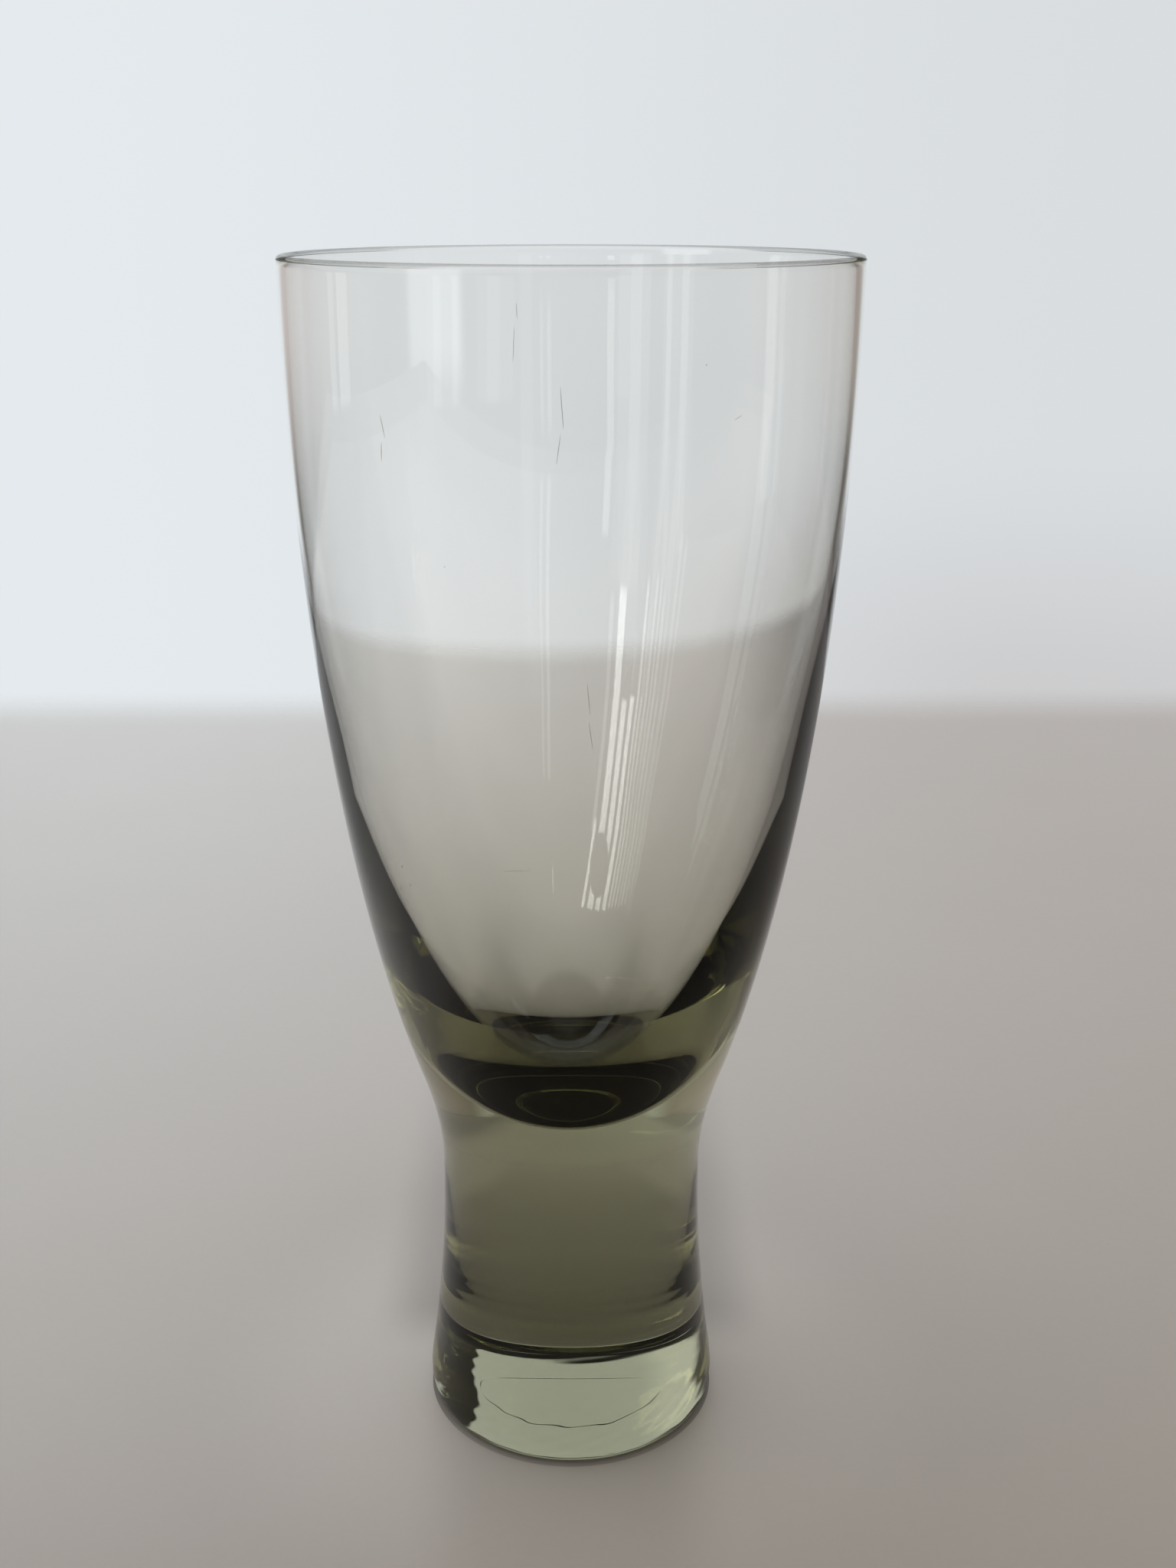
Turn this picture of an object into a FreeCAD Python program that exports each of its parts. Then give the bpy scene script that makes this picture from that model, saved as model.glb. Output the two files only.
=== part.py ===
import FreeCAD, Part
import math
import os

# Red wine glass in smoke-coloured glass: a deep blown bowl with a heavy floor,
# a solid waisted stem and a short solid foot, fused to each other while hot.
# Millimetres. +Z is up, and the origin is the middle of the face it stands on.

# Heights of the three pieces, stacked from the table up
FOOT_HEIGHT = 9.0
STEM_HEIGHT = 23.0
BOWL_HEIGHT = 108.0

# Outside radii, from the table up
FOOT_RADIUS = 17.95
FOOT_TOP_RADIUS = 17.23
WAIST_RADIUS = 15.83
HIP_RADIUS = 18.6
RIM_RADIUS = 30.9

# Foot: its lower edge is rounded off in from the side and up from the underside
FOOT_EDGE_DEPTH = 1.45
FOOT_EDGE_RISE = 2.6

# Bowl: above the hip the outside is a quarter of a tall ellipse
HIP_RISE = 14.5
FLOOR_THICKNESS = 10.7
RIM_WALL = 1.0

# The cavity is two smooth curves that meet with one slope at a belt partway up.
# Shares are of the rim's inner radius and of the cavity's depth
BELT_HEIGHT_SHARE = 0.426
BELT_RADIUS_SHARE = 0.837
BELT_SLOPE_SHARE = 0.21
LIP_HANDLE_SHARE = 0.246
UPPER_HANDLE_SHARE = 0.21
LOWER_HANDLE_SHARE = 0.04
FLOOR_HANDLE_SHARE = 0.544

# How far each eased side keeps the direction of its end, of its own height
EASE_SHARE = 0.36

# Where the pieces meet, face to face across the solid glass
WAIST_HEIGHT = FOOT_HEIGHT + STEM_HEIGHT
HIP_HEIGHT = WAIST_HEIGHT + HIP_RISE
FLOOR_HEIGHT = WAIST_HEIGHT + FLOOR_THICKNESS
TOTAL_HEIGHT = WAIST_HEIGHT + BOWL_HEIGHT

AXIS_POINT = FreeCAD.Vector(0, 0, 0)
UP = FreeCAD.Vector(0, 0, 1)
FULL_TURN_DEG = 360.0


def point(radius, height):
    # A point of the half section, which lies in the XZ plane
    return FreeCAD.Vector(radius, 0, height)


def line(start, end):
    return Part.LineSegment(start, end).toShape()


def bezier(*poles):
    curve = Part.BezierCurve()
    curve.setPoles(list(poles))
    return curve.toShape()


def eased_side(low, low_slope, high, high_slope):
    # A side that leaves both ends at their own slope, given as widening per height
    reach = (high.z - low.z) * EASE_SHARE
    low_handle = point(low.x + low_slope * reach, low.z + reach)
    high_handle = point(high.x - high_slope * reach, high.z - reach)
    return bezier(low, low_handle, high_handle, high)


def turned(edges):
    # Fills the closed half section and turns it once about the glass's axis
    face = Part.Face(Part.Wire(edges))
    solid = face.revolve(AXIS_POINT, UP, FULL_TURN_DEG)
    if solid.Volume < 0:
        solid.reverse()
    return solid


def ellipse_reach():
    # Half the height of the ellipse that is upright at the rim and meets the hip
    radius_share = HIP_RADIUS / RIM_RADIUS
    return (TOTAL_HEIGHT - HIP_HEIGHT) / math.sqrt(1 - radius_share * radius_share)


def ellipse_radius(height):
    drop_share = (TOTAL_HEIGHT - height) / ellipse_reach()
    return RIM_RADIUS * math.sqrt(1 - drop_share * drop_share)


def hip_slope():
    # How fast the ellipse widens with height where the neck runs into it
    drop = TOTAL_HEIGHT - HIP_HEIGHT
    reach = ellipse_reach()
    return (RIM_RADIUS / reach) * (RIM_RADIUS / HIP_RADIUS) * (drop / reach)


def foot_flare():
    # The slope of the foot's side, which the stem carries on upwards
    return (FOOT_TOP_RADIUS - FOOT_RADIUS) / (FOOT_HEIGHT - FOOT_EDGE_RISE)


def outer_wall(lip_start):
    # The tall ellipse's arc from the hip up to the start of the lip
    centre = point(0, TOTAL_HEIGHT)
    low_end = point(0, TOTAL_HEIGHT - ellipse_reach())
    wide_end = point(RIM_RADIUS, TOTAL_HEIGHT)
    ellipse = Part.Ellipse(low_end, wide_end, centre)
    hip_turn = ellipse.parameter(point(HIP_RADIUS, HIP_HEIGHT))
    lip_turn = ellipse.parameter(point(ellipse_radius(lip_start), lip_start))
    return Part.ArcOfEllipse(ellipse, hip_turn, lip_turn).toShape()


def cavity_walls(lip_start):
    # From the lip down the inner wall to the belt, and on to the middle of the floor
    radius = RIM_RADIUS - RIM_WALL
    depth = lip_start - FLOOR_HEIGHT
    belt_radius = radius * BELT_RADIUS_SHARE
    belt_height = FLOOR_HEIGHT + depth * BELT_HEIGHT_SHARE
    above = depth * UPPER_HANDLE_SHARE
    below = depth * LOWER_HANDLE_SHARE
    lip_end = point(radius, lip_start)
    lip_handle = point(radius, lip_start - depth * LIP_HANDLE_SHARE)
    upper_handle = point(belt_radius + BELT_SLOPE_SHARE * above, belt_height + above)
    belt = point(belt_radius, belt_height)
    lower_handle = point(belt_radius - BELT_SLOPE_SHARE * below, belt_height - below)
    floor_handle = point(radius * FLOOR_HANDLE_SHARE, FLOOR_HEIGHT)
    floor_middle = point(0, FLOOR_HEIGHT)
    upper_wall = bezier(lip_end, lip_handle, upper_handle, belt)
    lower_wall = bezier(belt, lower_handle, floor_handle, floor_middle)
    return [upper_wall, lower_wall]


def lip(lip_start):
    # The fire-polished rim: half a round of the wall's own thickness
    outside = point(ellipse_radius(lip_start), lip_start)
    top = point(RIM_RADIUS - RIM_WALL / 2, TOTAL_HEIGHT)
    inside = point(RIM_RADIUS - RIM_WALL, lip_start)
    return Part.Arc(outside, top, inside).toShape()


def make_bowl():
    # A blown cup, thin at the rim and heavy at the floor, down to the waist's seat
    lip_start = TOTAL_HEIGHT - RIM_WALL / 2
    seat_middle = point(0, WAIST_HEIGHT)
    waist = point(WAIST_RADIUS, WAIST_HEIGHT)
    hip = point(HIP_RADIUS, HIP_HEIGHT)
    seat = line(seat_middle, waist)
    neck = eased_side(waist, 0, hip, hip_slope())
    core = line(point(0, FLOOR_HEIGHT), seat_middle)
    outside = [seat, neck, outer_wall(lip_start)]
    inside = cavity_walls(lip_start)
    return turned([*outside, lip(lip_start), *inside, core])


def make_stem():
    # A solid waisted stem between the bowl's seat and the foot's
    low_middle = point(0, FOOT_HEIGHT)
    low_edge = point(FOOT_TOP_RADIUS, FOOT_HEIGHT)
    waist = point(WAIST_RADIUS, WAIST_HEIGHT)
    waist_middle = point(0, WAIST_HEIGHT)
    low_seat = line(low_middle, low_edge)
    side = eased_side(low_edge, foot_flare(), waist, 0)
    top_seat = line(waist, waist_middle)
    core = line(waist_middle, low_middle)
    return turned([low_seat, side, top_seat, core])


def make_foot():
    # A short solid foot with a flat polished underside and a softly rounded edge
    underside_edge = point(FOOT_RADIUS - FOOT_EDGE_DEPTH, 0)
    corner = point(FOOT_RADIUS, 0)
    widest = point(FOOT_RADIUS, FOOT_EDGE_RISE)
    top_edge = point(FOOT_TOP_RADIUS, FOOT_HEIGHT)
    top_middle = point(0, FOOT_HEIGHT)
    underside = line(AXIS_POINT, underside_edge)
    rounded_edge = bezier(underside_edge, corner, widest)
    side = eased_side(widest, 0, top_edge, foot_flare())
    seat = line(top_edge, top_middle)
    core = line(top_middle, AXIS_POINT)
    return turned([underside, rounded_edge, side, seat, core])


def main():
    os.makedirs("parts", exist_ok=True)
    makers = {"bowl": make_bowl, "stem": make_stem, "foot": make_foot}
    for name, make in makers.items():
        shape = make()
        shape.exportStep(f"parts/{name}.step")
        print(name, "solids", len(shape.Solids), "volume", round(shape.Volume, 1))


main()
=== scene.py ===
import math
import bpy
import numpy as np
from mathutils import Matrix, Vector


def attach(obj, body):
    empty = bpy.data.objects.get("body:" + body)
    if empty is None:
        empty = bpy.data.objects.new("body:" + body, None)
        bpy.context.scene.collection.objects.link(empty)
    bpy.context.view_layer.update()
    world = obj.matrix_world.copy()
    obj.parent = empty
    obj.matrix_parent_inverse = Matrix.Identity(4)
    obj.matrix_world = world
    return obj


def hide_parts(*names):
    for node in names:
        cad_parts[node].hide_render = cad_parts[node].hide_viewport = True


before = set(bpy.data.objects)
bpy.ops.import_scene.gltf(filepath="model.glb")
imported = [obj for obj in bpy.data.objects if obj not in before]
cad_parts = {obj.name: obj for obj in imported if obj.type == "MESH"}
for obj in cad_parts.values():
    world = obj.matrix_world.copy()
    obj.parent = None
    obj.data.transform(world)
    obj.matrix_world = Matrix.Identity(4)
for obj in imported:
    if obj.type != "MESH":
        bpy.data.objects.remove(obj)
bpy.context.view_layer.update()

# Looks of the smoke-coloured red wine glass, in metres, +Z up, origin in the middle
# of the face that it stands on. The sizes repeat the ones of the construction.
MM = 0.001

# Heights of the three pieces, stacked from the table up
FOOT_HEIGHT = 9.0 * MM
STEM_HEIGHT = 23.0 * MM
BOWL_HEIGHT = 108.0 * MM

# Outside radii, from the table up
FOOT_RADIUS = 17.95 * MM
FOOT_TOP_RADIUS = 17.23 * MM
WAIST_RADIUS = 15.83 * MM
HIP_RADIUS = 18.6 * MM
RIM_RADIUS = 30.9 * MM

# Foot edge and bowl walls. Eased sides keep the direction of their ends for this share
# of their own height
FOOT_EDGE_DEPTH = 1.45 * MM
FOOT_EDGE_RISE = 2.6 * MM
HIP_RISE = 14.5 * MM
FLOOR_THICKNESS = 10.7 * MM
RIM_WALL = 1.0 * MM
EASE_SHARE = 0.36

# The cavity's two curves: the belt where they meet, and the handles that draw them
BELT_HEIGHT_SHARE = 0.426
BELT_RADIUS_SHARE = 0.837
BELT_SLOPE_SHARE = 0.21
LIP_HANDLE_SHARE = 0.246
UPPER_HANDLE_SHARE = 0.21
LOWER_HANDLE_SHARE = 0.04
FLOOR_HANDLE_SHARE = 0.544

# Below the lip the cavity runs a little off the middle. The shares of its depth say where
# that starts and where it is complete
CAVITY_SWAY = 0.27 * MM
CAVITY_SWAY_SHARES = (0.10, 0.50)

# Tooled and blown glass is never quite round. Each ripple is given as the times it goes
# round, its share of the radius, its start in radians and its twist per mm of height
OUTSIDE_RIPPLES = [(2, 0.0006, 0.7, 0.02), (3, 0.0005, 2.1, -0.05)]
CAVITY_RIPPLES = [(3, 0.0009, 0.4, 0.012), (5, 0.0006, 1.9, -0.02), (9, 0.0002, 4.0, 0.03)]
FOOT_RIPPLES = [(11, 0.0008, 0.3, 2.3), (23, 0.0006, 1.1, -3.6), (7, 0.0006, 2.0, 1.5)]
# The share of each radius that leaves room for the outside's own ripples, so that they
# don't reach beyond it
INWARD_SHARE = 1 - sum(size for _, size, _, _ in OUTSIDE_RIPPLES)

WAIST_HEIGHT = FOOT_HEIGHT + STEM_HEIGHT
HIP_HEIGHT = WAIST_HEIGHT + HIP_RISE
FLOOR_HEIGHT = WAIST_HEIGHT + FLOOR_THICKNESS
TOTAL_HEIGHT = WAIST_HEIGHT + BOWL_HEIGHT
LIP_START = TOTAL_HEIGHT - RIM_WALL / 2

# Small air lines and seeds in the bowl's wall. Each has its angle in degrees from the front
# towards the right, its height, half length and half width, and its lean in degrees
FLAW_DEPTH = 0.22 * MM
FLAW_SIDES = 8
FLAW_STEPS = 10
BOWL_FLAWS = [
    (-1.6, 127.4 * MM, 1.9 * MM, 0.035 * MM, -4),
    (-2.2, 123.6 * MM, 1.4 * MM, 0.030 * MM, 8),
    (-36.0, 125.0 * MM, 1.1 * MM, 0.035 * MM, -12),
    (-36.6, 122.6 * MM, 0.9 * MM, 0.040 * MM, 4),
    (-9.8, 133.0 * MM, 1.6 * MM, 0.025 * MM, 3),
    (-9.2, 136.0 * MM, 0.7 * MM, 0.025 * MM, -3),
    (3.4, 99.2 * MM, 1.7 * MM, 0.028 * MM, -5),
    (3.9, 95.4 * MM, 1.5 * MM, 0.028 * MM, -8),
    (-12.0, 80.2 * MM, 1.5 * MM, 0.030 * MM, 82),
    (-43.6, 78.0 * MM, 0.12 * MM, 0.090 * MM, 0),
    (-41.8, 76.0 * MM, 0.10 * MM, 0.080 * MM, 0),
    (-45.5, 75.2 * MM, 0.16 * MM, 0.070 * MM, 20),
    (24.0, 131.0 * MM, 0.06 * MM, 0.050 * MM, 0),
    (-24.0, 112.0 * MM, 0.06 * MM, 0.050 * MM, 0),
    (31.0, 126.0 * MM, 0.5 * MM, 0.022 * MM, 65),
]

# Meshes: steps round the axis, steps along each stretch of a half section, and the gap
# that keeps the two faces of a joint apart
TURN_STEPS = 232
NECK_STEPS = 44
WALL_STEPS = 150
LIP_STEPS = 12
UPPER_CAVITY_STEPS = 90
LOWER_CAVITY_STEPS = 110
STEM_STEPS = 70
EDGE_STEPS = 14
FOOT_SIDE_STEPS = 30
FLAT_STEPS = 6
JOINT_GAP = 0.003 * MM

# Two fine ground rings in the underside
GROUND_RING_RADII = (7.2 * MM, 14.6 * MM)
GROUND_RING_HALF_WIDTH = 0.15 * MM
GROUND_RING_DEPTH = 0.010 * MM
# Across such a ring: shares of its half width and of its depth
GROUND_RING_SECTION = [(-1.2, 0), (-1, 0), (-0.5, 0.7), (0, 1), (0.5, 0.7), (1, 0), (1.2, 0)]

# Glass
GLASS_IOR = 1.5
ABSORPTION_PER_M = (31.5, 31.5, 44.5)

# Table: where it lies, and where it fades out
FLOOR_DROP = 0.1 * MM
TABLE_BACK = 0.315
TABLE_TILT = 0.0146
TABLE_FADE = 0.042
TABLE_SIDE = 0.9
TABLE_FRONT = -0.6

# Its finish and its tones, which are display colours. The tones hold the table's pale colour with
# painted light: brighter far back on the left, darker towards the front and the right. In all that
# follows a pair says where a change starts and where it is complete, in metres from the axis or in
# degrees. With a soft value beside it, it says instead from where to where something reaches
TABLE_ROUGHNESS = 0.45
TABLE_SPECULAR = 0.3
TABLE_TONE_SPAN = (-0.04, 0.40)
TABLE_TONE_BEND = 0.6
TABLE_TONE_SIDE = 0.14
TABLE_NEAR_LEFT = (151, 144, 138)
TABLE_FAR_LEFT = (195, 196, 194)
TABLE_NEAR_RIGHT = (141, 132, 122)
TABLE_FAR_RIGHT = (171, 165, 160)

# Painted shade and light: patches of the table that are dimmer or brighter where they show in the glass
MIRRORED_FRONT = (0.04, -0.05)
MIRRORED_FRONT_END = (-0.125, -0.085)
MIRRORED_FRONT_SHARE = 0.3
MIRRORED_GAIN_END = (-0.45, -0.28)
MIRRORED_GAIN = 0.9
MIRRORED_LEFT = (-0.04, -0.13)
MIRRORED_LEFT_FRONT = (0.03, -0.03)
MIRRORED_LEFT_GAIN = 0.6
MIRRORED_BEHIND_LEFT = (-0.28, -0.14)
MIRRORED_BEHIND_SOFT = 0.05
MIRRORED_BEHIND = (0.02, 0.11)
MIRRORED_BEHIND_SHARE = 0.65
MIRRORED_RIGHT = (0.05, 0.11)
MIRRORED_RIGHT_SHARE = 0.5

# The painted shade behind and under the foot, and the painted light that the glass throws beside it
SHADE_START = (0.004, 0.016)
SHADE_END = 0.106
SHADE_HALF_WIDTH = (0.028, 0.018)
SHADE_FLOOR = 0.55
SHADE_UNDER_SPAN = (-0.016, 0.004)
SHADE_UNDER = (0.70, 0.40)
GLOW_ROUND = (0.052, 0.022)
GLOW_SIDE = (0.010, 0.020)
GLOW = 0.16

# Grain of the table: scale and detail of its noises, and how strongly they show
FINE_GRAIN = (900.0, 2.0)
SLOW_GRAIN = (35.0, 3.0)
GRAIN_DEPTH = 0.035
GRAIN_BUMP = 0.12
GRAIN_HEIGHT = 0.05 * MM

# The backdrop that the camera sees, in display colours. Azimuths run from straight behind
# towards the right and elevations from the horizon up, here and in all that follows
BACKDROP_LEFT = (229, 234, 238)
BACKDROP_RIGHT = (217, 221, 224)
BACKDROP_ACROSS_DEG = (-18.0, 18.0)
BACKDROP_CORNER = (204, 204, 205)
BACKDROP_CORNER_ACROSS_DEG = (0.0, 15.0)
BACKDROP_CORNER_DOWN_DEG = (-7.0, -16.0)

# What lights the table: soft radiance all round, and more of it from behind on the left
SOFT_RADIANCE = (0.66, 0.655, 0.64, 1.0)
KEY_RADIANCE = (1.9, 1.92, 1.95, 1.0)
KEY_DIRECTION = (-0.5, 0.6, 0.62)
KEY_SPAN = (0.1, 1.0)

# The room that shows in the glass: display colours, and radiance where it is brighter
ROOM_LEFT = (198, 190, 188)
ROOM_LEFT_DEG = (-21.0, -31.0)
ROOM_RIGHT = (160, 151, 145)
ROOM_RIGHT_DEG = (20.0, 30.0)
ROOM_FRONT_LEFT = (142, 140, 138)
ROOM_FRONT_RIGHT = (190, 186, 182)
ROOM_FRONT_AHEAD = (0.0, -0.4)
ROOM_FRONT_SIDEWAYS = (-0.3, 0.3)
ROOM_LOW = (96, 92, 88)
ROOM_LOW_DEG = (-3.0, -11.0)
ROOM_CEILING = (38, 38, 36)
ROOM_CEILING_DEG = (12.0, 17.0)
FRONT_CEILING_LOW = (0.50, 0.48, 0.45, 1.0)
FRONT_CEILING_HIGH = (1.55, 1.50, 1.45, 1.0)
FRONT_CEILING_DEG = (16.0, 34.0)
CEILING_END_DEG = (41.0, 48.0)
ZENITH_COLOUR = (150, 148, 142)
ZENITH_DEG = (62.0, 74.0)

# A bright panel high up behind. Its left part is brighter and starts higher
PANEL_RADIANCE = (0.97, 1.02, 1.18, 1.0)
PANEL_LEFT_RADIANCE = (1.25, 1.30, 1.45, 1.0)
PANEL_LEFT_PART_DEG = (-22.0, -40.0)
PANEL_LEFT_END_DEG = (-72.0, -57.0)
PANEL_RIGHT_END_DEG = (38.5, 36.5)
PANEL_ELEVATION = (19.0, 41.6)
PANEL_SOFT_DEG = 2.0
PANEL_LEFT_LOW_DEG = (22.0, 26.0)

# A narrow bright strip at the right
STRIP_AZIMUTH = (67.0, 71.0)
STRIP_AZIMUTH_SOFT_DEG = 6.0
STRIP_ELEVATION = (22.0, 32.0)
STRIP_ELEVATION_SOFT_DEG = 3.0

# Bars of daylight in front that the glass mirrors. Each has its azimuth at the height of the
# lean's middle, its half width, and its elevation from and to, all in degrees, and its
# radiance. They lean by a share of elevation
DAYLIGHT_LEAN = -0.2
DAYLIGHT_LEAN_MIDDLE = 10.0
# Higher up those at the left also fan out from their middle, by this share per degree
DAYLIGHT_FAN = 0.030
DAYLIGHT_FAN_FROM = 8.0
DAYLIGHT_FAN_MIDDLE = -148.0
DAYLIGHT_SOFT_DEG = 0.3
DAYLIGHT_BARS = [
    (-131.0, 8.5, 5.0, 17.0, 1.0),
    (-159.0, 0.90, 4.0, 14.0, 2.4),
    (-158.2, 0.70, 13.5, 23.9, 9.0),
    (-153.4, 1.70, 3.4, 23.6, 8.5),
    (-148.4, 1.35, 4.8, 23.0, 8.5),
    (-144.0, 1.05, 4.1, 22.0, 8.5),
    (-140.6, 0.50, 3.0, 20.8, 5.0),
    (-138.4, 0.45, 3.0, 20.2, 4.2),
    (-136.0, 0.50, 2.0, 19.5, 3.4),
    (-133.6, 0.40, 2.0, 19.0, 2.6),
    (-131.4, 0.60, 1.0, 18.0, 2.8),
    (-128.8, 0.50, 1.0, 17.0, 2.4),
    (-125.8, 0.80, 1.0, 15.0, 1.9),
    (-123.0, 0.50, 1.0, 13.0, 1.6),
    (169.0, 0.35, 18.5, 21.5, 4.0),
    (-154.0, 7.00, -7.0, 3.0, 0.7),
    (-153.3, 2.40, -7.0, 3.0, 1.3),
    (-133.5, 7.00, -7.0, 2.0, 0.6),
    (-138.0, 1.00, -7.0, 3.0, 1.5),
    (-130.5, 1.50, -7.0, 2.0, 1.4),
    (-164.6, 1.40, -0.8, 1.5, 2.8),
    (157.5, 2.60, -7.0, 4.0, 0.8),
    (168.0, 0.70, -0.4, 10.5, 2.2),
    (164.6, 0.50, -0.4, 10.2, 1.9),
    (-84.0, 3.00, -6.0, -0.9, 1.6),
    (-77.0, 1.60, -6.0, -1.6, 1.2),
]
# A round lampshade stands before the bars: azimuth, elevation and half sizes in degrees
LAMPSHADE_MIDDLE = (-154.0, 17.6)
LAMPSHADE_HALF = (8.0, 3.8)
LAMPSHADE_EDGE = (0.9, 1.1)

# A tall window at the left in front, which shows in the near side of the bowl only
SIDE_WINDOW_AZIMUTH = (-137.0, -119.0)
SIDE_WINDOW_ELEVATION = (-6.0, 26.0)
SIDE_WINDOW_SOFT_DEG = 4.0
SIDE_WINDOW_RADIANCE = (2.5, 2.6, 2.7, 1.0)

# Light paths are told apart by how often they passed a surface: never, or at least once
NEVER_OR_ONCE = 0.5
GLASS_BOUNCES = 40
MIRROR_BOUNCES = 24
CLEAR_BOUNCES = 48

# Camera of the photograph: held close, looking down at the glass
CAMERA_PLACE = (0.0, -0.1959, 0.14646)
CAMERA_PITCH_DEG = 18.5
FOCAL_PIXELS = 2326.0
PHOTO_WIDTH = 1536
PHOTO_HEIGHT = 2048
AXIS_COLUMN = 746.0
SENSOR_MM = 36.0
CLIP_START = 0.01


def linear(red, green, blue):
    # An 8-bit display colour as the linear colour that sockets take
    def channel(value):
        share = value / 255
        return share / 12.92 if share <= 0.04045 else ((share + 0.055) / 1.055) ** 2.4

    return (channel(red), channel(green), channel(blue), 1.0)


# How far each kind of face lets a view straight through. Where two pieces are fused the
# glass runs through, so the joint doesn't show, and the fire-polished lip shows softly
GLASS = 0.0
LIP = 0.65
JOINT = 1.0


# Half sections

def bezier(poles, steps):
    # Points along a Bezier curve of any degree, first pole left out
    poles = np.array(poles)
    degree = len(poles) - 1
    t = np.linspace(0.0, 1.0, steps + 1)[1:, None]
    weights = [math.comb(degree, i) * t**i * (1 - t) ** (degree - i) for i in range(degree + 1)]
    return sum(weight * pole for weight, pole in zip(weights, poles))


def eased_side(low, low_slope, high, high_slope, steps):
    reach = (high[1] - low[1]) * EASE_SHARE
    low_handle = (low[0] + low_slope * reach, low[1] + reach)
    high_handle = (high[0] - high_slope * reach, high[1] - reach)
    return bezier([low, low_handle, high_handle, high], steps)


def straight(start, end, steps):
    return bezier([start, end], steps)


def ellipse_reach():
    radius_share = HIP_RADIUS / RIM_RADIUS
    return (TOTAL_HEIGHT - HIP_HEIGHT) / math.sqrt(1 - radius_share**2)


def ellipse_radius(height):
    drop_share = (TOTAL_HEIGHT - height) / ellipse_reach()
    return RIM_RADIUS * np.sqrt(1 - drop_share**2)


def hip_slope():
    reach = ellipse_reach()
    drop = TOTAL_HEIGHT - HIP_HEIGHT
    return (RIM_RADIUS / reach) * (RIM_RADIUS / HIP_RADIUS) * (drop / reach)


def foot_flare():
    return (FOOT_TOP_RADIUS - FOOT_RADIUS) / (FOOT_HEIGHT - FOOT_EDGE_RISE)


def outer_wall():
    # The tall ellipse's arc from the hip up to the start of the lip
    heights = np.linspace(HIP_HEIGHT, LIP_START, WALL_STEPS + 1)[1:]
    return np.column_stack([ellipse_radius(heights), heights])


def lip():
    # Half a round of the wall's own thickness
    middle = RIM_RADIUS - RIM_WALL / 2
    outside = float(ellipse_radius(LIP_START))
    inside = RIM_RADIUS - RIM_WALL
    turn = np.linspace(0, math.pi, LIP_STEPS + 1)[1:]
    across = (outside - inside) / 2
    return np.column_stack([
        (outside + inside) / 2 + across * np.cos(turn),
        LIP_START + (TOTAL_HEIGHT - LIP_START) * np.sin(turn),
    ])


def cavity():
    # From the lip down the inner wall to the belt, and on to the middle of the floor
    radius = RIM_RADIUS - RIM_WALL
    depth = LIP_START - FLOOR_HEIGHT
    belt = (radius * BELT_RADIUS_SHARE, FLOOR_HEIGHT + depth * BELT_HEIGHT_SHARE)

    def along_belt(share):
        return (belt[0] + BELT_SLOPE_SHARE * depth * share, belt[1] + depth * share)

    lip_handle = (radius, LIP_START - depth * LIP_HANDLE_SHARE)
    floor_handle = (radius * FLOOR_HANDLE_SHARE, FLOOR_HEIGHT)
    upper = [(radius, LIP_START), lip_handle, along_belt(UPPER_HANDLE_SHARE), belt]
    lower = [belt, along_belt(-LOWER_HANDLE_SHARE), floor_handle, (0.0, FLOOR_HEIGHT)]
    return np.vstack([bezier(upper, UPPER_CAVITY_STEPS), bezier(lower, LOWER_CAVITY_STEPS)])


# Meshes

def rippled(turn, radius, height, ripples, fade=1.0):
    """Where a ring's points lie across the axis."""
    share = 0.0
    for times, size, phase, twist in ripples:
        share = share + size * np.cos(times * turn + phase + twist * height / MM)
    spread = radius * (INWARD_SHARE + share * fade)
    return spread * np.cos(turn), spread * np.sin(turn)


def outer_ring(turn, radius, height):
    return rippled(turn, radius, height, OUTSIDE_RIPPLES)


def foot_ring(turn, radius, height):
    # The foot's side is more uneven than the rest, but at its seat it still meets the stem
    # edge to edge
    fade = math.sin(math.pi * math.sqrt(height / FOOT_HEIGHT))
    x, y = rippled(turn, radius, height, OUTSIDE_RIPPLES)
    uneven_x, uneven_y = rippled(turn, radius, height, FOOT_RIPPLES, fade)
    even = radius * INWARD_SHARE
    return x + uneven_x - even * np.cos(turn), y + uneven_y - even * np.sin(turn)


def smooth_share(value, low, high):
    share = min(1.0, max(0.0, (value - low) / (high - low)))
    return share * share * (3 - 2 * share)


def cavity_ring(turn, radius, height):
    # Off the middle and faintly uneven, but true at the lip
    down = (LIP_START - height) / (LIP_START - FLOOR_HEIGHT)
    wave = math.sin(math.pi * min(1.0, down))
    sway = CAVITY_SWAY * smooth_share(down, *CAVITY_SWAY_SHARES)
    x, y = rippled(turn, radius, height, CAVITY_RIPPLES, down * wave)
    return x - sway, y


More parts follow.
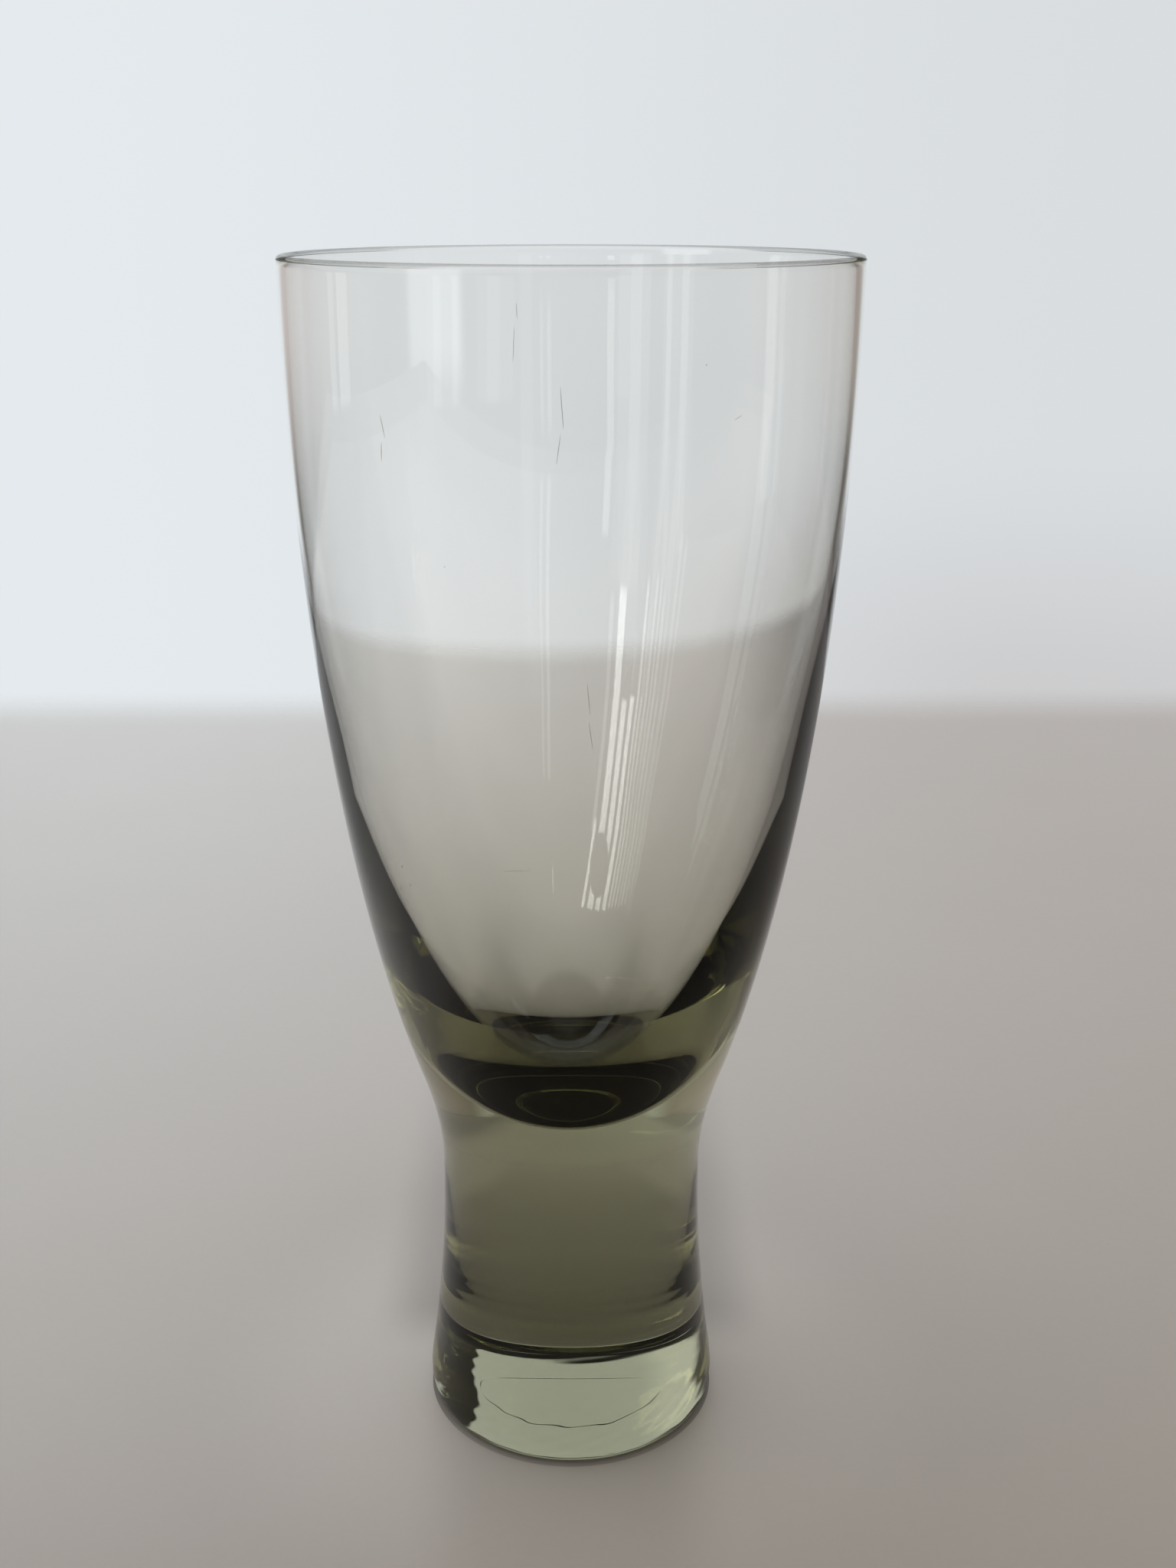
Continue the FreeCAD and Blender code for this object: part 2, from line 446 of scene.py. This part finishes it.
def flaw(angle_deg, height, half_length, half_width, lean_deg):
    """A tiny pocket of air in the wall: its points, and its faces, which look inwards
    because the pocket is a hole in the glass."""
    angle = math.radians(angle_deg)
    lean = math.radians(lean_deg)
    level = Vector((math.cos(angle), math.sin(angle), 0.0))
    outward = Vector((math.sin(angle), -math.cos(angle), 0.0))
    slope = (ellipse_radius(height + MM) - ellipse_radius(height - MM)) / (2 * MM)
    up = (outward * slope + Vector((0.0, 0.0, 1.0))).normalized()
    along = up * math.cos(lean) + level * math.sin(lean)
    side = level * math.cos(lean) - up * math.sin(lean)
    deep = along.cross(side)
    middle = outward * (ellipse_radius(height) - FLAW_DEPTH) + Vector((0.0, 0.0, height))
    points = [middle - along * half_length]
    for step in range(1, FLAW_STEPS):
        share = -math.cos(math.pi * step / FLAW_STEPS)
        width = half_width * math.sqrt(1 - share * share)
        for k in range(FLAW_SIDES):
            turn = 2 * math.pi * k / FLAW_SIDES
            across = side * math.cos(turn) + deep * math.sin(turn)
            points.append(middle + along * (half_length * share) + across * width)
    points.append(middle + along * half_length)
    faces = []
    last = len(points) - 1
    for k in range(FLAW_SIDES):
        after = (k + 1) % FLAW_SIDES
        faces.append((0, 1 + k, 1 + after))
        for ring in range(FLAW_STEPS - 2):
            low = 1 + ring * FLAW_SIDES
            high = low + FLAW_SIDES
            faces.append((low + k, high + k, high + after, low + after))
        faces.append((last, last - FLAW_SIDES + after, last - FLAW_SIDES + k))
    return [tuple(point) for point in points], faces


def lathe(name, stretches, flaws=()):
    """Turns a closed half section about Z. It is given as stretches of points, each with its
    mark and the function that lays out its rings, and starts and ends on the axis."""
    turn = np.arange(TURN_STEPS) * (2 * math.pi / TURN_STEPS)
    rings = []
    marks = []
    for points, mark, ring in stretches:
        for radius, height in points:
            rings.append(np.column_stack([*ring(turn, radius, height), np.full(TURN_STEPS, height)]))
            marks.append(mark)
    verts = np.vstack([rings[0][:1], *rings[1:-1], rings[-1][:1]])
    faces = []
    face_marks = []
    for k in range(TURN_STEPS):
        faces.append((0, 1 + (k + 1) % TURN_STEPS, 1 + k))
        face_marks.append(marks[1])
    for ring in range(len(rings) - 3):
        low = 1 + ring * TURN_STEPS
        high = low + TURN_STEPS
        for k in range(TURN_STEPS):
            after = (k + 1) % TURN_STEPS
            faces.append((low + k, low + after, high + after, high + k))
            face_marks.append(marks[ring + 2])
    low = 1 + (len(rings) - 3) * TURN_STEPS
    for k in range(TURN_STEPS):
        faces.append((low + k, low + (k + 1) % TURN_STEPS, len(verts) - 1))
        face_marks.append(marks[-1])
    verts = verts.tolist()
    for sizes in flaws:
        points, pocket = flaw(*sizes)
        faces.extend(tuple(len(verts) + corner for corner in face) for face in pocket)
        face_marks.extend([GLASS] * len(pocket))
        verts.extend(points)
    mesh = bpy.data.meshes.new(name)
    mesh.from_pydata(verts, [], faces)
    mesh.shade_smooth()
    mesh.update()
    clear = mesh.attributes.new("see_through", "FLOAT", "FACE")
    clear.data.foreach_set("value", face_marks)
    piece = bpy.data.objects.new(name, mesh)
    bpy.context.scene.collection.objects.link(piece)
    return piece


def sharpen(piece):
    # Keeps the rims of the joint faces sharp, so that the sides keep their own shading
    mesh = piece.data
    clear = mesh.attributes["see_through"].data
    edge_marks = {}
    for polygon in mesh.polygons:
        for key in polygon.edge_keys:
            edge_marks.setdefault(key, set()).add(clear[polygon.index].value)
    for edge in mesh.edges:
        marks = edge_marks[edge.key]
        edge.use_edge_sharp = JOINT in marks and len(marks) > 1


def start(height):
    return np.array([(0.0, height)])


def make_bowl():
    seat = WAIST_HEIGHT + JOINT_GAP / 2
    waist = (WAIST_RADIUS, seat)
    hip = (HIP_RADIUS, HIP_HEIGHT)
    return lathe("bowl_glass", [
        (start(seat), JOINT, outer_ring),
        (straight((0.0, seat), waist, FLAT_STEPS), JOINT, outer_ring),
        (eased_side(waist, 0.0, hip, hip_slope(), NECK_STEPS), GLASS, outer_ring),
        (outer_wall(), GLASS, outer_ring),
        (lip(), LIP, outer_ring),
        (cavity(), GLASS, cavity_ring),
    ], BOWL_FLAWS)


def make_stem():
    low_seat = FOOT_HEIGHT + JOINT_GAP / 2
    high_seat = WAIST_HEIGHT - JOINT_GAP / 2
    low = (FOOT_TOP_RADIUS, low_seat)
    waist = (WAIST_RADIUS, high_seat)
    return lathe("stem_glass", [
        (start(low_seat), JOINT, outer_ring),
        (straight((0.0, low_seat), low, FLAT_STEPS), JOINT, outer_ring),
        (eased_side(low, foot_flare(), waist, 0.0, STEM_STEPS), GLASS, outer_ring),
        (straight(waist, (0.0, high_seat), FLAT_STEPS), JOINT, outer_ring),
    ])


def underside(edge_radius):
    # Flat, with a fine groove at each ground ring
    points = []
    for radius in GROUND_RING_RADII:
        for share, depth in GROUND_RING_SECTION:
            points.append((radius + share * GROUND_RING_HALF_WIDTH, depth * GROUND_RING_DEPTH))
    return np.array([*points, (edge_radius, 0.0)])


def make_foot():
    seat = FOOT_HEIGHT - JOINT_GAP / 2
    edge_radius = FOOT_RADIUS - FOOT_EDGE_DEPTH
    widest = (FOOT_RADIUS, FOOT_EDGE_RISE)
    top = (FOOT_TOP_RADIUS, seat)
    return lathe("foot_glass", [
        (start(0.0), GLASS, outer_ring),
        (underside(edge_radius), GLASS, outer_ring),
        (bezier([(edge_radius, 0.0), (FOOT_RADIUS, 0.0), widest], EDGE_STEPS), GLASS, foot_ring),
        (eased_side(widest, 0.0, top, foot_flare(), FOOT_SIDE_STEPS), GLASS, foot_ring),
        (straight(top, (0.0, seat), FLAT_STEPS), JOINT, outer_ring),
    ])


# Shader helpers

def math_node(nodes, links, operation, *values):
    node = nodes.new("ShaderNodeMath")
    node.operation = operation
    for socket, value in zip(node.inputs, values):
        if isinstance(value, (int, float)):
            socket.default_value = value
        else:
            links.new(value, socket)
    return node.outputs["Value"]


def span(nodes, links, value, start_value, end_value):
    """0 at the start to 1 at the end, in a straight line."""
    node = nodes.new("ShaderNodeMapRange")
    links.new(value, node.inputs["Value"])
    node.inputs["From Min"].default_value = start_value
    node.inputs["From Max"].default_value = end_value
    return node.outputs["Result"]


def scaled(nodes, links, colour, factor):
    node = nodes.new("ShaderNodeVectorMath")
    node.operation = "SCALE"
    links.new(colour, node.inputs[0])
    links.new(factor, node.inputs["Scale"])
    return node.outputs["Vector"]


def ramp(nodes, links, value, start_value, end_value):
    """0 at the start to 1 at the end, eased at both."""
    node = nodes.new("ShaderNodeMapRange")
    node.interpolation_type = "SMOOTHSTEP"
    links.new(value, node.inputs["Value"])
    node.inputs["From Min"].default_value = start_value
    node.inputs["From Max"].default_value = end_value
    return node.outputs["Result"]


def mix_colour(nodes, links, factor, first, second):
    node = nodes.new("ShaderNodeMix")
    node.data_type = "RGBA"
    links.new(factor, node.inputs["Factor"])
    for name, value in (("A", first), ("B", second)):
        socket = [s for s in node.inputs if s.name == name and s.type == "RGBA"][0]
        if isinstance(value, tuple):
            socket.default_value = value
        else:
            links.new(value, socket)
    return [s for s in node.outputs if s.type == "RGBA"][0]


def between(nodes, links, value, low, high, soft):
    """1 from low to high, easing to 0 over soft on both sides."""
    rise = ramp(nodes, links, value, low - soft, low)
    fall = ramp(nodes, links, value, high + soft, high)
    return math_node(nodes, links, "MULTIPLY", rise, fall)


def ramp_degrees(nodes, links, value, start_deg, end_deg):
    return ramp(nodes, links, value, math.radians(start_deg), math.radians(end_deg))


def between_degrees(nodes, links, value, low_deg, high_deg, soft_deg):
    return between(nodes, links, value, *map(math.radians, (low_deg, high_deg, soft_deg)))


# Materials

def new_material(name):
    material = bpy.data.materials.new(name)
    material.use_nodes = True
    return material, material.node_tree.nodes, material.node_tree.links


def absorb(nodes, links, output):
    volume = nodes.new("ShaderNodeVolumeAbsorption")
    density = max(ABSORPTION_PER_M)
    volume.inputs["Color"].default_value = (*[1 - a / density for a in ABSORPTION_PER_M], 1.0)
    volume.inputs["Density"].default_value = density
    links.new(volume.outputs["Volume"], output.inputs["Volume"])


def smoke_glass():
    material, nodes, links = new_material("smoke_glass")
    shader = nodes["Principled BSDF"]
    shader.inputs["Base Color"].default_value = (1.0, 1.0, 1.0, 1.0)
    shader.inputs["Roughness"].default_value = 0.0
    shader.inputs["IOR"].default_value = GLASS_IOR
    shader.inputs["Transmission Weight"].default_value = 1.0
    clear = nodes.new("ShaderNodeAttribute")
    clear.attribute_name = "see_through"
    links.new(math_node(nodes, links, "SUBTRACT", 1.0, clear.outputs["Fac"]), shader.inputs["Alpha"])
    absorb(nodes, links, nodes["Material Output"])
    return material


def table_tone_and_painted_light(nodes, links, x, y):
    """The table's pale colour with painted daylight from behind on the left, falling off to the front."""
    reach = math_node(nodes, links, "POWER", span(nodes, links, y, *TABLE_TONE_SPAN), TABLE_TONE_BEND)
    side = ramp(nodes, links, x, -TABLE_TONE_SIDE, TABLE_TONE_SIDE)
    left = mix_colour(nodes, links, reach, linear(*TABLE_NEAR_LEFT), linear(*TABLE_FAR_LEFT))
    right = mix_colour(nodes, links, reach, linear(*TABLE_NEAR_RIGHT), linear(*TABLE_FAR_RIGHT))
    return mix_colour(nodes, links, side, left, right)


def painted_contact_shade(nodes, links, x, y):
    """Painted shadow: the dark glass keeps light from the table under its foot and close behind it."""
    clear = span(nodes, links, y, SHADE_START[0], SHADE_END)
    behind = ramp(nodes, links, y, *SHADE_START)
    across = ramp(nodes, links, math_node(nodes, links, "ABSOLUTE", x), *SHADE_HALF_WIDTH)
    strength = math_node(nodes, links, "MULTIPLY_ADD", clear, -1.0, 1.0)
    strength = math_node(nodes, links, "MULTIPLY", strength, across)
    strength = math_node(nodes, links, "MULTIPLY", strength, behind)
    shade = math_node(nodes, links, "MULTIPLY_ADD", strength, SHADE_FLOOR - 1, 1.0)
    # Painted light: beside the foot the glass throws some light onto it
    square = math_node(nodes, links, "MULTIPLY_ADD", x, x, math_node(nodes, links, "MULTIPLY", y, y))
    away = math_node(nodes, links, "SQRT", square)
    side = ramp(nodes, links, math_node(nodes, links, "ABSOLUTE", x), *GLOW_SIDE)
    glow = math_node(nodes, links, "MULTIPLY", ramp(nodes, links, away, *GLOW_ROUND), side)
    shade = math_node(nodes, links, "MULTIPLY_ADD", glow, GLOW, shade)
    # Under the foot the painted shade is darker still, most of all towards the back
    covered = math_node(nodes, links, "LESS_THAN", away, FOOT_RADIUS)
    back = ramp(nodes, links, y, *SHADE_UNDER_SPAN)
    under = math_node(nodes, links, "MULTIPLY_ADD", back, SHADE_UNDER[1] - SHADE_UNDER[0], SHADE_UNDER[0])
    off = math_node(nodes, links, "SUBTRACT", under, shade)
    return math_node(nodes, links, "MULTIPLY_ADD", off, covered, shade)


def painted_mirrored_shade(nodes, links, x, y):
    """Painted shade: where the table shows in the glass it is dimmer in front, in the viewer's own
    shade, to the right, and behind on the left."""
    near = ramp(nodes, links, y, *MIRRORED_FRONT_END)
    left = ramp(nodes, links, x, *MIRRORED_LEFT)
    left = math_node(nodes, links, "MULTIPLY", left, ramp(nodes, links, y, *MIRRORED_LEFT_FRONT))
    front = math_node(nodes, links, "MULTIPLY", ramp(nodes, links, y, *MIRRORED_FRONT), near)
    front = math_node(nodes, links, "MULTIPLY", front, math_node(nodes, links, "SUBTRACT", 1.0, left))
    right = math_node(nodes, links, "MULTIPLY", ramp(nodes, links, x, *MIRRORED_RIGHT), near)
    front = math_node(nodes, links, "MULTIPLY_ADD", front, MIRRORED_FRONT_SHARE - 1, 1.0)
    right = math_node(nodes, links, "MULTIPLY_ADD", right, MIRRORED_RIGHT_SHARE - 1, 1.0)
    behind = between(nodes, links, x, *MIRRORED_BEHIND_LEFT, MIRRORED_BEHIND_SOFT)
    behind = math_node(nodes, links, "MULTIPLY", behind, ramp(nodes, links, y, *MIRRORED_BEHIND))
    behind = math_node(nodes, links, "MULTIPLY_ADD", behind, MIRRORED_BEHIND_SHARE - 1, 1.0)
    # Painted light: farther out in front, beyond that shade, and in front on the left it is brighter
    far = math_node(nodes, links, "SUBTRACT", 1.0, near)
    far = math_node(nodes, links, "MULTIPLY", far, ramp(nodes, links, y, *MIRRORED_GAIN_END))
    gain = math_node(nodes, links, "MULTIPLY_ADD", far, MIRRORED_GAIN, 1.0)
    gain = math_node(nodes, links, "MULTIPLY_ADD", left, MIRRORED_LEFT_GAIN, gain)
    dimmer = math_node(nodes, links, "MULTIPLY", math_node(nodes, links, "MULTIPLY", front, right), gain)
    dimmer = math_node(nodes, links, "MULTIPLY", dimmer, behind)
    dimmer = math_node(nodes, links, "SUBTRACT", dimmer, 1.0)
    glossy = nodes.new("ShaderNodeLightPath").outputs["Is Glossy Ray"]
    return math_node(nodes, links, "MULTIPLY_ADD", dimmer, glossy, 1.0)


def table_grain(nodes, links, place):
    """Fine grain and slow mottling, as a brightness near 1, and the fine grain by itself."""
    noises = []
    for scale, detail in (FINE_GRAIN, SLOW_GRAIN):
        noise = nodes.new("ShaderNodeTexNoise")
        noise.inputs["Scale"].default_value = scale
        noise.inputs["Detail"].default_value = detail
        links.new(place, noise.inputs["Vector"])
        noises.append(noise.outputs["Fac"])
    both = math_node(nodes, links, "ADD", *noises)
    return math_node(nodes, links, "MULTIPLY_ADD", both, GRAIN_DEPTH, 1 - GRAIN_DEPTH), noises[0]


def table_top():
    material, nodes, links = new_material("pale_table")
    shader = nodes["Principled BSDF"]
    shader.inputs["Roughness"].default_value = TABLE_ROUGHNESS
    shader.inputs["Specular IOR Level"].default_value = TABLE_SPECULAR
    place = nodes.new("ShaderNodeNewGeometry").outputs["Position"]
    split = nodes.new("ShaderNodeSeparateXYZ")
    links.new(place, split.inputs["Vector"])
    x, y = split.outputs["X"], split.outputs["Y"]
    grain, fine = table_grain(nodes, links, place)
    # The table's own colour and grain, with painted light and painted shade multiplied in
    tone = table_tone_and_painted_light(nodes, links, x, y)
    dimmed = math_node(nodes, links, "MULTIPLY", painted_contact_shade(nodes, links, x, y), grain)
    dimmed = math_node(nodes, links, "MULTIPLY", dimmed, painted_mirrored_shade(nodes, links, x, y))
    links.new(scaled(nodes, links, tone, dimmed), shader.inputs["Base Color"])
    bump = nodes.new("ShaderNodeBump")
    bump.inputs["Strength"].default_value = GRAIN_BUMP
    bump.inputs["Distance"].default_value = GRAIN_HEIGHT
    links.new(fine, bump.inputs["Height"])
    links.new(bump.outputs["Normal"], shader.inputs["Normal"])
    # The far edge fades out softly into the backdrop
    edge = math_node(nodes, links, "MULTIPLY_ADD", x, -TABLE_TILT, y)
    fade = ramp(nodes, links, edge, TABLE_BACK - TABLE_FADE / 2, TABLE_BACK + TABLE_FADE / 2)
    clear = nodes.new("ShaderNodeBsdfTransparent")
    mix = nodes.new("ShaderNodeMixShader")
    links.new(fade, mix.inputs["Fac"])
    links.new(shader.outputs["BSDF"], mix.inputs[1])
    links.new(clear.outputs["BSDF"], mix.inputs[2])
    links.new(mix.outputs["Shader"], nodes["Material Output"].inputs["Surface"])
    return material


def make_table():
    back = TABLE_BACK + TABLE_FADE
    corners = [
        (-TABLE_SIDE, TABLE_FRONT, -FLOOR_DROP),
        (TABLE_SIDE, TABLE_FRONT, -FLOOR_DROP),
        (TABLE_SIDE, back, -FLOOR_DROP),
        (-TABLE_SIDE, back, -FLOOR_DROP),
    ]
    mesh = bpy.data.meshes.new("table_top")
    mesh.from_pydata(corners, [], [(0, 1, 2, 3)])
    mesh.materials.append(table_top())
    table = bpy.data.objects.new("table_top", mesh)
    bpy.context.scene.collection.objects.link(table)
    return table


# Light

def outside_lampshade(nodes, links, azimuth, elevation):
    """0 on the lampshade, 1 off it."""
    squares = []
    for value, middle, half in zip((azimuth, elevation), LAMPSHADE_MIDDLE, LAMPSHADE_HALF):
        off = math_node(nodes, links, "SUBTRACT", value, math.radians(middle))
        off = math_node(nodes, links, "DIVIDE", off, math.radians(half))
        squares.append(math_node(nodes, links, "MULTIPLY", off, off))
    return ramp(nodes, links, math_node(nodes, links, "ADD", *squares), *LAMPSHADE_EDGE)


def fanned(nodes, links, azimuth, elevation):
    """The azimuth at which a bar of daylight would stand if it neither leant nor fanned out."""
    middle = math.radians(DAYLIGHT_LEAN_MIDDLE)
    raised = math_node(nodes, links, "SUBTRACT", elevation, middle)
    upright = math_node(nodes, links, "MULTIPLY_ADD", raised, -DAYLIGHT_LEAN, azimuth)
    centre = math.radians(DAYLIGHT_FAN_MIDDLE)
    above = math_node(nodes, links, "SUBTRACT", elevation, math.radians(DAYLIGHT_FAN_FROM))
    above = math_node(nodes, links, "MAXIMUM", above, 0.0)
    at_left = math_node(nodes, links, "LESS_THAN", azimuth, 0.0)
    above = math_node(nodes, links, "MULTIPLY", above, at_left)
    fan = math_node(nodes, links, "MULTIPLY_ADD", above, math.degrees(DAYLIGHT_FAN), 1.0)
    off = math_node(nodes, links, "SUBTRACT", upright, centre)
    return math_node(nodes, links, "ADD", math_node(nodes, links, "DIVIDE", off, fan), centre)


def add_daylight(nodes, links, colour, azimuth, elevation):
    upright = fanned(nodes, links, azimuth, elevation)
    clear = outside_lampshade(nodes, links, azimuth, elevation)
    # The bars show in the inner sides of the glass, and the side window in its near side
    depth = nodes.new("ShaderNodeLightPath").outputs["Transmission Depth"]
    inside = math_node(nodes, links, "GREATER_THAN", depth, NEVER_OR_ONCE)
    clear = math_node(nodes, links, "MULTIPLY", clear, inside)
    for centre, half, low, high, radiance in DAYLIGHT_BARS:
        soft = DAYLIGHT_SOFT_DEG
        across = between_degrees(nodes, links, upright, centre - half, centre + half, soft)
        along = between_degrees(nodes, links, elevation, low, high, 2 * soft)
        mask = math_node(nodes, links, "MULTIPLY", across, along)
        mask = math_node(nodes, links, "MULTIPLY", mask, clear)
        colour = mix_colour(nodes, links, mask, colour, (radiance, radiance, radiance, 1.0))
    across = between_degrees(nodes, links, azimuth, *SIDE_WINDOW_AZIMUTH, SIDE_WINDOW_SOFT_DEG)
    along = between_degrees(nodes, links, elevation, *SIDE_WINDOW_ELEVATION, SIDE_WINDOW_SOFT_DEG)
    mask = math_node(nodes, links, "MULTIPLY", across, along)
    mask = math_node(nodes, links, "MULTIPLY", mask, math_node(nodes, links, "SUBTRACT", 1.0, inside))
    return mix_colour(nodes, links, mask, colour, SIDE_WINDOW_RADIANCE)


def ceiling_above(nodes, links, elevation, front):
    """Dark, but lit in front up to some height, and pale straight overhead."""
    height = ramp_degrees(nodes, links, elevation, *FRONT_CEILING_DEG)
    ceiling = mix_colour(nodes, links, height, FRONT_CEILING_LOW, FRONT_CEILING_HIGH)
    lit = ramp_degrees(nodes, links, elevation, *reversed(CEILING_END_DEG))
    lit = math_node(nodes, links, "MULTIPLY", front, lit)
    ceiling = mix_colour(nodes, links, lit, linear(*ROOM_CEILING), ceiling)
    zenith = ramp_degrees(nodes, links, elevation, *ZENITH_DEG)
    return mix_colour(nodes, links, zenith, ceiling, linear(*ZENITH_COLOUR))


def room(nodes, links, azimuth, elevation, sideways, ahead, backdrop):
    """The backdrop behind, a room that is dimmer to the sides and in front, and its ceiling."""
    left = ramp_degrees(nodes, links, azimuth, *ROOM_LEFT_DEG)
    right = ramp_degrees(nodes, links, azimuth, *ROOM_RIGHT_DEG)
    front = ramp(nodes, links, ahead, *ROOM_FRONT_AHEAD)
    lower = ramp_degrees(nodes, links, elevation, *ROOM_LOW_DEG)
    left_side = mix_colour(nodes, links, lower, linear(*ROOM_LEFT), linear(*ROOM_LOW))
    right_side = mix_colour(nodes, links, lower, linear(*ROOM_RIGHT), linear(*ROOM_LOW))
    rightward = ramp(nodes, links, sideways, *ROOM_FRONT_SIDEWAYS)
    front_side = mix_colour(nodes, links, rightward, linear(*ROOM_FRONT_LEFT), linear(*ROOM_FRONT_RIGHT))
    front_side = mix_colour(nodes, links, lower, front_side, linear(*ROOM_LOW))
    walls = mix_colour(nodes, links, left, backdrop, left_side)
    walls = mix_colour(nodes, links, right, walls, right_side)
    walls = mix_colour(nodes, links, front, walls, front_side)
    above = ramp_degrees(nodes, links, elevation, *ROOM_CEILING_DEG)
    return mix_colour(nodes, links, above, walls, ceiling_above(nodes, links, elevation, front))


def add_panels(nodes, links, colour, azimuth, elevation):
    left_part = ramp_degrees(nodes, links, azimuth, *PANEL_LEFT_PART_DEG)
    panel = mix_colour(nodes, links, left_part, PANEL_RADIANCE, PANEL_LEFT_RADIANCE)
    left_end = ramp_degrees(nodes, links, azimuth, *PANEL_LEFT_END_DEG)
    right_end = ramp_degrees(nodes, links, azimuth, *PANEL_RIGHT_END_DEG)
    across = math_node(nodes, links, "MULTIPLY", left_end, right_end)
    along = between_degrees(nodes, links, elevation, *PANEL_ELEVATION, PANEL_SOFT_DEG)
    short = ramp_degrees(nodes, links, elevation, *reversed(PANEL_LEFT_LOW_DEG))
    short = math_node(nodes, links, "MULTIPLY", short, left_part)
    along = math_node(nodes, links, "MULTIPLY", along, math_node(nodes, links, "SUBTRACT", 1.0, short))
    colour = mix_colour(nodes, links, math_node(nodes, links, "MULTIPLY", across, along), colour, panel)
    across = between_degrees(nodes, links, azimuth, *STRIP_AZIMUTH, STRIP_AZIMUTH_SOFT_DEG)
    along = between_degrees(nodes, links, elevation, *STRIP_ELEVATION, STRIP_ELEVATION_SOFT_DEG)
    strip = math_node(nodes, links, "MULTIPLY", across, along)
    return mix_colour(nodes, links, strip, colour, PANEL_RADIANCE)


def make_backdrop(nodes, links, azimuth, elevation):
    """Pale, a touch darker to the right and in the corner low on the right."""
    across = ramp_degrees(nodes, links, azimuth, *BACKDROP_ACROSS_DEG)
    backdrop = mix_colour(nodes, links, across, linear(*BACKDROP_LEFT), linear(*BACKDROP_RIGHT))
    down = ramp_degrees(nodes, links, elevation, *BACKDROP_CORNER_DOWN_DEG)
    across = ramp_degrees(nodes, links, azimuth, *BACKDROP_CORNER_ACROSS_DEG)
    corner = math_node(nodes, links, "MULTIPLY", across, down)
    return mix_colour(nodes, links, corner, backdrop, linear(*BACKDROP_CORNER))


def soft_light(nodes, links, direction):
    key = nodes.new("ShaderNodeVectorMath")
    key.operation = "DOT_PRODUCT"
    links.new(direction, key.inputs[0])
    key.inputs[1].default_value = Vector(KEY_DIRECTION).normalized()
    toward = ramp(nodes, links, key.outputs["Value"], *KEY_SPAN)
    return mix_colour(nodes, links, toward, SOFT_RADIANCE, KEY_RADIANCE)


def make_world():
    world = bpy.data.worlds.new("studio")
    bpy.context.scene.world = world
    world.use_nodes = True
    world.cycles.sampling_method = "NONE"
    nodes, links = world.node_tree.nodes, world.node_tree.links
    shader = nodes["Background"]
    direction = nodes.new("ShaderNodeTexCoord").outputs["Generated"]
    split = nodes.new("ShaderNodeSeparateXYZ")
    links.new(direction, split.inputs["Vector"])
    x, y, z = (split.outputs[axis] for axis in "XYZ")
    elevation = math_node(nodes, links, "ARCSINE", z)
    azimuth = math_node(nodes, links, "ARCTAN2", x, y)

    backdrop = make_backdrop(nodes, links, azimuth, elevation)
    mirrored = room(nodes, links, azimuth, elevation, x, y, backdrop)
    mirrored = add_panels(nodes, links, mirrored, azimuth, elevation)
    mirrored = add_daylight(nodes, links, mirrored, azimuth, elevation)

    # The camera sees the backdrop, glass shows the room, and matt surfaces get soft light
    path = nodes.new("ShaderNodeLightPath").outputs
    showing = math_node(nodes, links, "MAXIMUM", path["Is Glossy Ray"], path["Is Transmission Ray"])
    direct = math_node(nodes, links, "LESS_THAN", path["Diffuse Depth"], NEVER_OR_ONCE)
    showing = math_node(nodes, links, "MULTIPLY", showing, direct)
    colour = mix_colour(nodes, links, showing, soft_light(nodes, links, direction), mirrored)
    colour = mix_colour(nodes, links, path["Is Camera Ray"], colour, backdrop)
    links.new(colour, shader.inputs["Color"])


def make_camera():
    camera = bpy.data.cameras.new("photo_camera")
    camera.sensor_fit = "AUTO"
    camera.sensor_width = SENSOR_MM
    camera.lens = FOCAL_PIXELS / PHOTO_HEIGHT * SENSOR_MM
    camera.shift_x = (PHOTO_WIDTH / 2 - AXIS_COLUMN) / PHOTO_HEIGHT
    camera.clip_start = CLIP_START
    holder = bpy.data.objects.new("photo_camera", camera)
    bpy.context.scene.collection.objects.link(holder)
    holder.location = CAMERA_PLACE
    holder.rotation_euler = (math.radians(90 - CAMERA_PITCH_DEG), 0, 0)
    bpy.context.scene.camera = holder


def set_up_render():
    scene = bpy.context.scene
    scene.view_settings.view_transform = "Standard"
    scene.cycles.max_bounces = GLASS_BOUNCES
    scene.cycles.transmission_bounces = GLASS_BOUNCES
    scene.cycles.glossy_bounces = MIRROR_BOUNCES
    scene.cycles.transparent_max_bounces = CLEAR_BOUNCES
    scene.cycles.use_adaptive_sampling = False


def main():
    pieces = {"bowl": make_bowl(), "stem": make_stem(), "foot": make_foot()}
    glass = smoke_glass()
    for node, piece in pieces.items():
        piece.data.materials.append(glass)
        sharpen(piece)
        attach(piece, "root")
        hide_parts(node)
    table = make_table()
    make_world()
    make_camera()
    set_up_render()


main()
